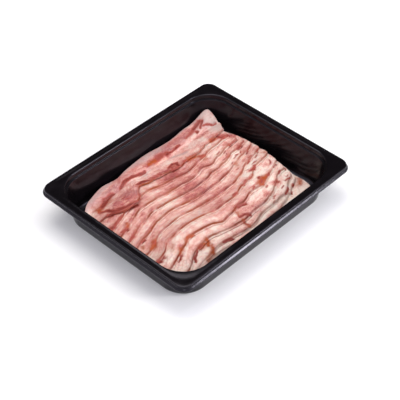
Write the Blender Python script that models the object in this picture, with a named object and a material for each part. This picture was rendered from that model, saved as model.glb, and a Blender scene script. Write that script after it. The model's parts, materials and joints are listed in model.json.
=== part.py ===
"""Open black tray with twelve shingled rashers of streaky bacon.

Metres, +Z up. The origin is the middle of the tray's flat base. X runs along
the long side of the tray and along the rashers; the rashers overlap along Y,
the topmost at the back (+Y) and the lowest at the front (-Y).
"""
import math

import bmesh
import bpy
import numpy as np

# Tray: sizes of the flat flange, the opening and the wall.
FLANGE_LENGTH = 0.228
FLANGE_WIDTH = 0.188
TRAY_HEIGHT = 0.038
FLANGE_RADIUS = 0.010
FLANGE_LAND = 0.0084
MOUTH_RADIUS = 0.028
BASE_RADIUS = 0.025
GAUGE = 0.0008
EDGE_ROUND = 0.0010
SKIRT_DROP = 0.0050
SKIRT_FLARE = 0.0015
SKIRT_GROOVE = 0.0004
RIDGE_TOP = 0.45
RIDGE_FOOT = 0.20
RIDGE_UNDER = 0.40
LEDGE_DEPTH = 0.0055
LEDGE_STEP = 0.0015
LEDGE_RISE = 0.0007
WALL_TAPER = 0.0034
FLOOR_FILLET = 0.0050
CORNER_STEPS = 7
FILLET_STEPS = 3

# Rashers: how much of each shows, and how it is cut.
TOP_FRONT = 0.0430
EXPOSURES = (0.0120, 0.0117, 0.0108, 0.0111, 0.0122, 0.0151, 0.0145, 0.0125, 0.0083, 0.0059, 0.0061)
RASHER_WIDTH = 0.038
RASHER_THICKNESS = 0.0025
CLEARANCE = 0.0004
WALL_MARGIN = 0.0045
LEFT_STATION = -0.097
RIGHT_END = 0.0945
RIGHT_END_SWAY = 0.0025
SWAY_CREST = 4
SWAY_RASHERS = 8.5
UPPER_DRAW = 0.0055
DRAW_RASHERS = 2.6
END_ROUND = 0.0040

# The long front edges: a crown left of the middle, a fall to the left end and a sweep at the right.
CROWN_AT = -0.037
CROWN_SPREAD = 0.028
CROWN_FIRST = 0.0030
CROWN_GROWTH = 0.0005
FALL_FROM = -0.050
FALL_SPAN = 0.038
FALL_DEPTH = 0.0090
FALL_POWER = 1.3
SWEEP_FROM = 0.020
SWEEP_SPAN = 0.068
SWEEP_FIRST = 0.0030
SWEEP_GROWTH = 0.0024
SWEEP_MOST = 0.0210
SWEEP_LOWEST = 0.0080
SWEEP_POWER = 1.5

# Slow bends of each front edge, from the topmost rasher on: where along it, how far back, how long.
BENDS = (
    ((-0.028, 0.0050, 0.006), (-0.014, 0.0020, 0.008), (0.017, -0.0040, 0.009), (0.045, -0.0025, 0.009)),
    ((-0.030, 0.0026, 0.014), (0.020, -0.0030, 0.012), (0.060, 0.0020, 0.015)),
    ((-0.057, 0.0013, 0.010), (0.031, 0.0026, 0.006), (0.043, -0.0022, 0.006), (0.072, 0.0020, 0.009)),
    ((-0.070, 0.0015, 0.012), (0.034, 0.0026, 0.006), (0.070, 0.0022, 0.007)),
    ((-0.080, 0.0016, 0.010), (0.073, 0.0025, 0.007)),
    ((-0.062, 0.0022, 0.008), (0.038, -0.0018, 0.008), (0.068, 0.0022, 0.009)),
    ((-0.065, 0.0040, 0.009), (-0.007, -0.0020, 0.007), (0.038, 0.0035, 0.014), (0.070, 0.0058, 0.011)),
    ((-0.045, 0.0020, 0.009), (-0.010, -0.0030, 0.006), (0.015, 0.0035, 0.009), (0.038, 0.0050, 0.013)),
    ((-0.075, -0.0035, 0.010), (-0.033, 0.0020, 0.010), (0.025, 0.0022, 0.012), (0.076, 0.0038, 0.011)),
    ((-0.048, -0.0042, 0.012), (0.030, 0.0045, 0.014), (0.068, -0.0030, 0.008)),
    ((0.030, 0.0035, 0.012),),
    (),
)

# The topmost rasher: a lobe in its front edge, a wavy back edge and a corner that stands up.
LOBE_AT = -0.056
LOBE_SPREAD = 0.017
LOBE_DEPTH = 0.0120
LOBE_FALL = 0.2
LOBE_POWER = 4
BACK_EDGE = 0.0782
BACK_WAVE = 0.0012
BACK_WAVE_LENGTH = 0.060
BACK_WAVE_START = -0.010
BACK_FALL = 0.0110
BACK_FALL_FROM = -0.020
BACK_FALL_SPAN = 0.070
BACK_FALL_POWER = 1.5
BACK_DIP = 0.0030
BACK_DIP_AT = -0.038
BACK_DIP_SPREAD = 0.011
BACK_LIFT = 0.0100
LIFT_FROM = 0.048
LIFT_SPAN = 0.018
TIP_LIFT = 0.0105
TIP_FROM = (0.068, 0.052)
TIP_SPAN = (0.026, 0.024)
TIP_REACH = 0.0067
TIP_SHARE = 0.45
TIP_INSET = 0.0118
TIP_MARGIN = 0.0014

# Fineness of the faceted solids.
LENGTH_CELLS = 24
WIDTH_CELLS = 6
BLEND_REACH = 0.010
BLEND_PLACES = 7
SHARP_ANGLE = math.radians(35)

RASHER_COUNT = len(BENDS)
HALF_X = FLANGE_LENGTH / 2
HALF_Y = FLANGE_WIDTH / 2
WALL_TOP = TRAY_HEIGHT - LEDGE_DEPTH
WALL_FOOT = GAUGE + FLOOR_FILLET
LEDGE_INSET = FLANGE_LAND + LEDGE_STEP
FOOT_INSET = LEDGE_INSET + WALL_TAPER


def clear_scene():
    for item in list(bpy.data.objects):
        bpy.data.objects.remove(item, do_unlink=True)


def make_material(name, colour, roughness):
    material = bpy.data.materials.new(name)
    material.use_nodes = True
    shader = material.node_tree.nodes["Principled BSDF"]
    shader.inputs["Base Color"].default_value = (*colour, 1.0)
    shader.inputs["Roughness"].default_value = roughness
    shader.inputs["Metallic"].default_value = 0.0
    return material


def finish_object(name, bm, material):
    bmesh.ops.recalc_face_normals(bm, faces=bm.faces)
    mesh = bpy.data.meshes.new(name)
    bm.to_mesh(mesh)
    bm.free()
    mesh.materials.append(material)
    mesh.shade_smooth()
    mesh.set_sharp_from_angle(angle=SHARP_ANGLE)
    item = bpy.data.objects.new(name, mesh)
    bpy.context.scene.collection.objects.link(item)
    return item


def smooth_step(value):
    value = np.clip(value, 0.0, 1.0)
    return value * value * (3.0 - 2.0 * value)


def wall_radius(inset):
    """Corner radius of the tray's wall, which tightens from the mouth to the foot."""
    share = (inset - FLANGE_LAND) / (FOOT_INSET - FLANGE_LAND)
    return MOUTH_RADIUS + (BASE_RADIUS - MOUTH_RADIUS) * share


def ring_points(inset, height, radius):
    """Points of a rounded rectangle, anticlockwise from above."""
    half_x = HALF_X - inset
    half_y = HALF_Y - inset
    points = []
    for corner, (sign_x, sign_y) in enumerate(((1, 1), (-1, 1), (-1, -1), (1, -1))):
        for step in range(CORNER_STEPS + 1):
            angle = (corner + step / CORNER_STEPS) * math.pi / 2
            x = sign_x * (half_x - radius) + radius * math.cos(angle)
            y = sign_y * (half_y - radius) + radius * math.sin(angle)
            points.append((x, y, height))
    return points


def fillet_rings(radius):
    """Rings of the round between wall and floor, from the wall down."""
    centre_inset = FOOT_INSET + FLOOR_FILLET
    rings = []
    for step in range(FILLET_STEPS + 1):
        angle = step / FILLET_STEPS * math.pi / 2
        inset = centre_inset - radius * math.cos(angle)
        height = WALL_FOOT - radius * math.sin(angle)
        rings.append((inset, height, BASE_RADIUS - (inset - FOOT_INSET)))
    return rings


def wall_rings(outward):
    """Rings of one side of the wall, from the mouth down to its foot; outward shifts the side."""
    under = outward * 0.5
    return [
        (FLANGE_LAND - outward, TRAY_HEIGHT - EDGE_ROUND, MOUTH_RADIUS),
        (FLANGE_LAND - outward, WALL_TOP + LEDGE_RISE - under, MOUTH_RADIUS),
        (LEDGE_INSET - outward, WALL_TOP - under, wall_radius(LEDGE_INSET)),
    ]


def tray_rings():
    """Closed run of rings: up the inside, over the flange and skirt, and down the outside."""
    inner = wall_rings(0.0) + fillet_rings(FLOOR_FILLET)
    outer = wall_rings(GAUGE)[1:] + fillet_rings(FLOOR_FILLET + GAUGE)
    under = TRAY_HEIGHT - GAUGE
    skirt_foot = TRAY_HEIGHT - SKIRT_DROP
    flare = FLANGE_RADIUS + SKIRT_FLARE
    flange = [
        (FLANGE_LAND - EDGE_ROUND, TRAY_HEIGHT, MOUTH_RADIUS),
        (EDGE_ROUND, TRAY_HEIGHT, FLANGE_RADIUS),
        (0.0, TRAY_HEIGHT - EDGE_ROUND, FLANGE_RADIUS),
        (-SKIRT_GROOVE, skirt_foot + SKIRT_DROP * RIDGE_TOP, FLANGE_RADIUS),
        (-SKIRT_FLARE, skirt_foot + SKIRT_DROP * RIDGE_FOOT, flare),
        (-SKIRT_FLARE, skirt_foot, flare),
        (GAUGE - SKIRT_FLARE, skirt_foot, flare - GAUGE),
        (GAUGE - SKIRT_GROOVE, skirt_foot + SKIRT_DROP * RIDGE_UNDER, FLANGE_RADIUS - GAUGE),
        (GAUGE, under, FLANGE_RADIUS - GAUGE),
        (FLANGE_LAND - GAUGE, under, MOUTH_RADIUS),
    ]
    return inner[::-1] + flange + outer


def build_tray():
    bm = bmesh.new()
    rings = tray_rings()
    corners = [bm.verts.new(point) for point in ring_points(*rings[0])]
    floor = bm.faces.new(corners)
    loop = list(floor.edges)
    for ring in rings[1:]:
        grown = bmesh.ops.extrude_edge_only(bm, edges=loop)["geom"]
        fresh = [part for part in grown if isinstance(part, bmesh.types.BMVert)]
        place_ring(corners, fresh, ring_points(*ring))
        corners = matched(corners, fresh)
        loop = [part for part in grown if isinstance(part, bmesh.types.BMEdge)]
        loop = [edge for edge in loop if all(corner in fresh for corner in edge.verts)]
    bmesh.ops.contextual_create(bm, geom=loop)
    plastic = make_material("tray_black_plastic", (0.012, 0.011, 0.012), 0.22)
    return finish_object("tray", bm, plastic)


def matched(old, fresh):
    """The new corner above each old one, in the old ones' order."""
    pool = set(fresh)
    pairs = []
    for corner in old:
        partners = [edge.other_vert(corner) for edge in corner.link_edges]
        pairs.append(next(partner for partner in partners if partner in pool))
    return pairs


def place_ring(old, fresh, points):
    for corner, point in zip(matched(old, fresh), points):
        corner.co = point


def reach(offset, half, side_half, radius):
    """Half size of a rounded rectangle along one axis, at an offset along the other."""
    over = np.maximum(np.abs(offset) - (side_half - radius), 0.0)
    return half - radius + np.sqrt(np.maximum(radius ** 2 - over ** 2, 0.0))


def floor_reach(row):
    """Half length of the tray's floor at a place across it."""
    return reach(row, HALF_X - FOOT_INSET, HALF_Y - FOOT_INSET, BASE_RADIUS)


def cut_line(index, x):
    """Y of a rasher's front edge along its length, without its bends and the tray's front wall."""
    middle = TOP_FRONT - sum(EXPOSURES[:index])
    crown = (CROWN_FIRST + CROWN_GROWTH * index) * np.exp(-((x - CROWN_AT) / CROWN_SPREAD) ** 2)
    fall = FALL_DEPTH * (np.maximum(FALL_FROM - x, 0.0) / FALL_SPAN) ** FALL_POWER
    most = min(SWEEP_FIRST + SWEEP_GROWTH * index, SWEEP_MOST)
    if index == RASHER_COUNT - 1:
        most = SWEEP_LOWEST
    sweep = most * (np.maximum(x - SWEEP_FROM, 0.0) / SWEEP_SPAN) ** SWEEP_POWER
    if index == 0:
        crown = -LOBE_DEPTH * np.exp(-((x - LOBE_AT) / LOBE_SPREAD) ** LOBE_POWER)
        fall = fall * LOBE_FALL
    return middle + crown - fall + sweep


def front_edge(index, x):
    """Y of a rasher's bent front edge, kept off the tray's front wall and its corners."""
    wall = reach(x, HALF_Y - FOOT_INSET, HALF_X - FOOT_INSET, BASE_RADIUS)
    bends = sum(rise * np.exp(-((x - at) / spread) ** 2) for at, rise, spread in BENDS[index])
    return np.maximum(cut_line(index, x) + bends, WALL_MARGIN - wall)


def top_back_edge(x):
    """Y of the topmost rasher's back edge, which follows the tray's back wall and corner."""
    wave = BACK_WAVE * np.sin((x - BACK_WAVE_START) / BACK_WAVE_LENGTH * 2 * math.pi)
    fall = BACK_FALL * (np.maximum(BACK_FALL_FROM - x, 0.0) / BACK_FALL_SPAN) ** BACK_FALL_POWER
    dip = BACK_DIP * np.exp(-((x - BACK_DIP_AT) / BACK_DIP_SPREAD) ** 2)
    wall = reach(x, HALF_Y - TIP_INSET, HALF_X - TIP_INSET, MOUTH_RADIUS - TIP_INSET + FLANGE_LAND)
    return np.minimum(BACK_EDGE + wave - fall - dip, wall - TIP_MARGIN)


def right_end(index):
    """X of a rasher's right end: a slow sway down the pile, with the upper ones drawn in."""
    sway = RIGHT_END_SWAY * math.cos((index - SWAY_CREST) / SWAY_RASHERS * 2 * math.pi)
    drawn = UPPER_DRAW * math.exp(-((index - 1) / DRAW_RASHERS) ** 2)
    return RIGHT_END + sway - drawn


def rasher_plan(index, along, across):
    """X and Y of a point of a rasher; along and across run from 0 to 1."""
    round_off = END_ROUND * abs(2 * across - 1) ** 3
    left_row = cut_line(index, LEFT_STATION) + across * RASHER_WIDTH
    right_row = cut_line(index, RIGHT_END) + across * RASHER_WIDTH
    left = round_off + WALL_MARGIN - floor_reach(left_row)
    right = min(right_end(index) - round_off, floor_reach(right_row) - WALL_MARGIN)
    if index == 0:
        right = right_end(index) + TIP_REACH * smooth_step(across / TIP_SHARE)
    x = left + (right - left) * along
    front = front_edge(index, x)
    back = top_back_edge(x) if index == 0 else cut_line(index, x) + RASHER_WIDTH
    return x, front + (back - front) * across


def rashers_reaching(x, y):
    """Which rasher, counted from the top one, has its back edge at a point, as a smooth number."""
    backs = [cut_line(index, x) + RASHER_WIDTH for index in range(1, RASHER_COUNT)]
    counts = list(range(2, RASHER_COUNT + 1))
    return np.interp(y, backs[::-1], counts[::-1])


def pile_height(index, x, y):
    """Height of a rasher's underside, from how many others lie below it there."""
    places = np.linspace(y - BLEND_REACH, y, BLEND_PLACES)
    reaching = np.mean([rashers_reaching(x, place) for place in places])
    layer = RASHER_THICKNESS + CLEARANCE
    return GAUGE + CLEARANCE + (reaching - index - 1) * layer


def top_rasher_lift(x, y):
    """Height that holds up the back of the topmost rasher, which leans on the wall."""
    back = BACK_LIFT * smooth_step((y - LIFT_FROM) / LIFT_SPAN)
    tip_x = smooth_step((x - TIP_FROM[0]) / TIP_SPAN[0])
    tip_y = smooth_step((y - TIP_FROM[1]) / TIP_SPAN[1])
    return back + TIP_LIFT * tip_x * tip_y


def build_rasher(index, material):
    bm = bmesh.new()
    bmesh.ops.create_grid(bm, x_segments=LENGTH_CELLS, y_segments=WIDTH_CELLS, size=0.5)
    for corner in bm.verts:
        x, y = rasher_plan(index, corner.co.x + 0.5, corner.co.y + 0.5)
        height = pile_height(index, x, y)
        if index == 0:
            height = max(height, top_rasher_lift(x, y))
        corner.co = (x, y, height)
    raised = bmesh.ops.extrude_face_region(bm, geom=bm.faces[:])["geom"]
    for part in raised:
        if isinstance(part, bmesh.types.BMVert):
            part.co.z += RASHER_THICKNESS
    return finish_object(f"rasher_{index + 1:02d}", bm, material)


def main():
    clear_scene()
    build_tray()
    meat = make_material("raw_streaky_bacon", (0.72, 0.36, 0.31), 0.35)
    for index in range(RASHER_COUNT):
        build_rasher(index, meat)


main()
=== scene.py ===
"""Looks of an open black tray of shingled streaky bacon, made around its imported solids.

Metres, +Z up. The origin is the middle of the tray's flat base. X runs along the long side of
the tray and along the rashers. The topmost rasher lies at the back (+Y), the lowest at the front.
"""

import json
import logging
import math
from dataclasses import dataclass, field
from enum import Enum
from typing import ClassVar

import bmesh
import bpy
import numpy as np
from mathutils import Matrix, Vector

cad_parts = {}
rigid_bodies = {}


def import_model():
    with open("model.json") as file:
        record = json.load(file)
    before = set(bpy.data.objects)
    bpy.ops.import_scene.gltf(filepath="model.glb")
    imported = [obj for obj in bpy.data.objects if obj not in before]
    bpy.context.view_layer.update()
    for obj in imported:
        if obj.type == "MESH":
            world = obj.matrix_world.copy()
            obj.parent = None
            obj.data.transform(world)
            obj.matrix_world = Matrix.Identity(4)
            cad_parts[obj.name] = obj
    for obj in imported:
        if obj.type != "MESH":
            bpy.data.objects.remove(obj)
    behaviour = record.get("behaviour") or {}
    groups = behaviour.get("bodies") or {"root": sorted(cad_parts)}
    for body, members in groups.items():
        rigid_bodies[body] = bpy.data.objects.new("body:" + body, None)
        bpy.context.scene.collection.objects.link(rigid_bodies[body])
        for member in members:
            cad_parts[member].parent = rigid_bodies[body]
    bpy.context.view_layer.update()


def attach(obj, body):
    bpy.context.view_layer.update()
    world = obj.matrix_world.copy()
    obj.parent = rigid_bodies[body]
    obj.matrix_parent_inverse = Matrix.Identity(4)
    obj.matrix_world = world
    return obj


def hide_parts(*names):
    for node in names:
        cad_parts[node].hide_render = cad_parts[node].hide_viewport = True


LOG = logging.getLogger("bacon_tray")
BODY = "root"
MM = 0.001
Array = np.ndarray
Colour = tuple[float, float, float]
Triple = tuple[float, float, float]
Rings = list[Triple]
Socket = bpy.types.NodeSocket


# ---- Shared helpers ----


def smooth_step(value: Array) -> Array:
    """Ease from 0 to 1 with flat ends.

    Args:
        value: Share of the way, clipped to 0..1.

    Returns:
        The eased share.
    """
    value = np.clip(value, 0.0, 1.0)
    return value * value * (3.0 - 2.0 * value)


def hump(place: Array, at: float, spread: float, power: float = 2) -> Array:
    """Smooth hump of height 1.

    Args:
        place: Places along it.
        at: Its middle.
        spread: Distance from its middle at which it has mostly faded.
        power: 2 for a bell; more for a flatter top.

    Returns:
        Its height at each place.
    """
    return np.exp(-(np.abs((place - at) / spread) ** power))


def past(distance: Array, span: float, power: float) -> Array:
    """Rise from 0 at no distance through 1 at a span, flat before.

    Args:
        distance: Distance past the start.
        span: Distance at which it reaches 1.
        power: How late it rises.

    Returns:
        The rise at each place.
    """
    return (np.maximum(distance, 0.0) / span) ** power


def valley(noise: Array, width: float = 0.22) -> Array:
    """Turn smooth noise into thin lines, 1 where it crosses zero."""
    return np.clip(1.0 - np.abs(noise) / width, 0.0, 1.0)


def gate(noise: Array, start: float = 0.05, span: float = 0.25) -> Array:
    """Turn smooth noise into patches of 0 and 1 with soft edges."""
    return smooth_step((noise - start) / span)


def looseness(x: Array) -> Array:
    """Rise from 0 to 1 towards the loose right ends of the rashers."""
    return smooth_step((x - 0.036) / 0.016)


class Grain:
    """Smooth, seeded noise on a plane, from -1 to 1."""

    CELLS = 96

    def __init__(self, seed: int) -> None:
        """Fill the lattice.

        Args:
            seed: Seed of the random lattice.
        """
        self.lattice = np.random.default_rng(seed).uniform(-1.0, 1.0, (self.CELLS, self.CELLS))

    def at(self, across: Array, up: Array) -> Array:
        """Noise at places given in lattice cells.

        Args:
            across: First coordinate.
            up: Second coordinate.

        Returns:
            Noise values of the same shape.
        """
        left = np.floor(across).astype(int)
        low = np.floor(up).astype(int)
        share_x = smooth_step(across - left)
        share_y = smooth_step(up - low)
        lattice = self.lattice
        x_0, x_1 = left % self.CELLS, (left + 1) % self.CELLS
        y_0, y_1 = low % self.CELLS, (low + 1) % self.CELLS
        lower = lattice[x_0, y_0] * (1 - share_x) + lattice[x_1, y_0] * share_x
        upper = lattice[x_0, y_1] * (1 - share_x) + lattice[x_1, y_1] * share_x
        return lower * (1 - share_y) + upper * share_y

    def along(self, place: Array, cell: float, row: float, start: float = 0.0) -> Array:
        """Noise along one line of the lattice.

        Args:
            place: Places along the line, in metres.
            cell: Length of a lattice cell, in metres.
            row: Place of the line across the lattice.
            start: Place of its start along the lattice.

        Returns:
            Noise values of the same shape.
        """
        return self.at(place / cell + start, np.full_like(place, row))


class Nodes:
    """Short calls for the nodes of a material or of the room's light."""

    def __init__(self, owner: bpy.types.Material | bpy.types.World) -> None:
        """Switch the owner's nodes on.

        Args:
            owner: The material or world.
        """
        owner.use_nodes = True
        self.tree = owner.node_tree

    def add(self, kind: str, inputs: dict[str | int, object], **values: object) -> bpy.types.Node:
        """Add a node.

        Args:
            kind: Type name without its ShaderNode prefix.
            inputs: Socket or value of each input that is set.
            **values: Properties of the node.

        Returns:
            The node.
        """
        node = self.tree.nodes.new("ShaderNode" + kind)
        for key, value in values.items():
            setattr(node, key, value)
        for key, value in inputs.items():
            self.feed(node.inputs[key], value)
        return node

    def feed(self, socket: Socket, value: object) -> None:
        """Link an output to an input, or set the input's own value.

        Args:
            socket: The input.
            value: An output socket, a number or a tuple; a colour may leave its alpha out.
        """
        if isinstance(value, bpy.types.NodeSocket):
            self.tree.links.new(value, socket)
        elif socket.type == "RGBA":
            socket.default_value = (*value, 1.0)
        else:
            socket.default_value = value

    def maths(self, operation: str, first: object, second: object = 0.0, clamp: bool = False) -> Socket:
        """Add a Math node.

        Args:
            operation: Name of the operation.
            first: First value or socket.
            second: Second value or socket.
            clamp: Whether the result is kept in 0..1.

        Returns:
            The result.
        """
        return self.add("Math", {0: first, 1: second}, operation=operation, use_clamp=clamp).outputs[0]

    def span(self, value: object, low: float, high: float, start: float = 0.0, end: float = 1.0) -> Socket:
        """Map a range to another, clamped.

        Args:
            value: The value.
            low: Start of the range.
            high: End of the range.
            start: Result at the start.
            end: Result at the end.

        Returns:
            The mapped value.
        """
        return self.add("MapRange", {0: value, 1: low, 2: high, 3: start, 4: end}, clamp=True).outputs[0]


class Shader(Nodes):
    """Short calls for the nodes of one material with a Principled shader."""

    def __init__(self, name: str) -> None:
        """Start the material.

        Args:
            name: Its name.
        """
        self.material = bpy.data.materials.new(name)
        super().__init__(self.material)
        self.inputs = self.tree.nodes["Principled BSDF"].inputs

    def weigh(self, value: Socket, weight: float) -> Socket:
        """Centre a value of 0..1 on zero and scale it by a weight."""
        return self.maths("MULTIPLY", self.maths("SUBTRACT", value, 0.5), weight)

    def noise(self, vector: Socket, scale: float, detail: float = 3.0, roughness: float = 0.55) -> Socket:
        """Add a Noise texture.

        Args:
            vector: Coordinates.
            scale: Cells for each unit.
            detail: Octaves.
            roughness: Weight of the finer octaves.

        Returns:
            The noise, from 0 to 1.
        """
        inputs = {"Vector": vector, "Scale": scale, "Detail": detail, "Roughness": roughness}
        return self.add("TexNoise", inputs).outputs["Fac"]

    def stretch(self, vector: Socket, scale: Triple) -> Socket:
        """Scale coordinates by a factor along each axis."""
        return self.add("Mapping", {"Vector": vector, "Scale": scale}).outputs["Vector"]

    def mix(self, share: object, first: object, second: object) -> Socket:
        """Mix two colours.

        Args:
            share: Share of the second colour.
            first: First colour or socket.
            second: Second colour or socket.

        Returns:
            The mixed colour.
        """
        inputs = {0: share, 6: first, 7: second}
        return self.add("Mix", inputs, data_type="RGBA", clamp_factor=True).outputs[2]

    def layers(self, attribute: str) -> tuple[tuple[Socket, ...], Socket]:
        """Read a colour attribute of the mesh.

        Args:
            attribute: Its name.

        Returns:
            Its three colour channels, and its alpha.
        """
        source = self.add("Attribute", {}, attribute_name=attribute).outputs
        return tuple(self.add("SeparateColor", {0: source["Color"]}).outputs), source["Alpha"]

    def ramp(self, value: Socket, stops: tuple[tuple[float, Colour], ...]) -> Socket:
        """Add a colour ramp.

        Args:
            value: Place on the ramp.
            stops: Position and colour of each stop.

        Returns:
            The colour.
        """
        node = self.add("ValToRGB", {0: value})
        elements = node.color_ramp.elements
        while len(elements) < len(stops):
            elements.new(0.5)
        for element, (position, colour) in zip(elements, stops):
            element.position = position
            element.color = (*colour, 1.0)
        return node.outputs[0]

    def bump(self, height: Socket, distance: float, strength: float, **normal: Socket) -> Socket:
        """Add a Bump node.

        Args:
            height: Height field.
            distance: Depth in metres of a step from 0 to 1.
            strength: Weight of the bump.
            **normal: Normal to build on, if any, under the name Normal.

        Returns:
            The bumped normal.
        """
        inputs = {"Height": height, "Distance": distance, "Strength": strength, **normal}
        return self.add("Bump", inputs).outputs["Normal"]


def link_piece(mesh: bpy.types.Mesh, finish: bpy.types.Material, node: str) -> bpy.types.Object:
    """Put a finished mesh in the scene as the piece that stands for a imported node.

    Args:
        mesh: Its mesh, in place, with the piece's name.
        finish: Its material.
        node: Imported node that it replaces.

    Returns:
        The piece.
    """
    mesh.materials.append(finish)
    piece = bpy.data.objects.new(mesh.name, mesh)
    bpy.context.scene.collection.objects.link(piece)
    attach(piece, BODY)
    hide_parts(node)
    LOG.info("%s: %d vertices", mesh.name, len(mesh.vertices))
    return piece


# ---- Finishes ----


@dataclass(frozen=True)
class BlackPlastic:
    """Glossy black thermoformed plastic with faint draw marks and smears."""

    colour: Colour = (0.0035, 0.0027, 0.0034)
    worn: Colour = (0.0060, 0.0045, 0.0058)
    specular_tint: Colour = (0.84, 0.80, 0.96)
    specular: float = 0.30
    gloss_low: float = 0.10
    gloss_high: float = 0.22
    speck_gloss: float = 0.05
    smear_scale: float = 38.0
    speck_scale: float = 900.0
    speck_depth: float = 0.00003
    draw_scale: float = 85.0
    draw_stretch: Triple = (1.0, 1.0, 0.25)
    draw_depth: float = 0.00035

    def material(self) -> bpy.types.Material:
        """Build the material."""
        shader = Shader("gloss_black_plastic")
        inputs = shader.inputs
        place = shader.add("TexCoord", {}).outputs["Object"]
        smear = shader.noise(place, self.smear_scale, 4.0, 0.6)
        speck = shader.noise(place, self.speck_scale, 2.0)
        shader.feed(inputs["Base Color"], shader.mix(shader.span(smear, 0.45, 0.70), self.colour, self.worn))
        rough = shader.span(smear, 0.35, 0.75, self.gloss_low, self.gloss_high)
        speckled = shader.maths("MULTIPLY", speck, self.speck_gloss)
        shader.feed(inputs["Roughness"], shader.maths("ADD", rough, speckled))
        draw = shader.noise(shader.stretch(place, self.draw_stretch), self.draw_scale, 2.0)
        wave = shader.bump(draw, self.draw_depth, 0.35)
        shader.feed(inputs["Normal"], shader.bump(speck, self.speck_depth, 0.3, Normal=wave))
        inputs["IOR"].default_value = 1.5
        inputs["Specular IOR Level"].default_value = self.specular
        inputs["Specular Tint"].default_value = (*self.specular_tint, 1.0)
        return shader.material


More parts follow.
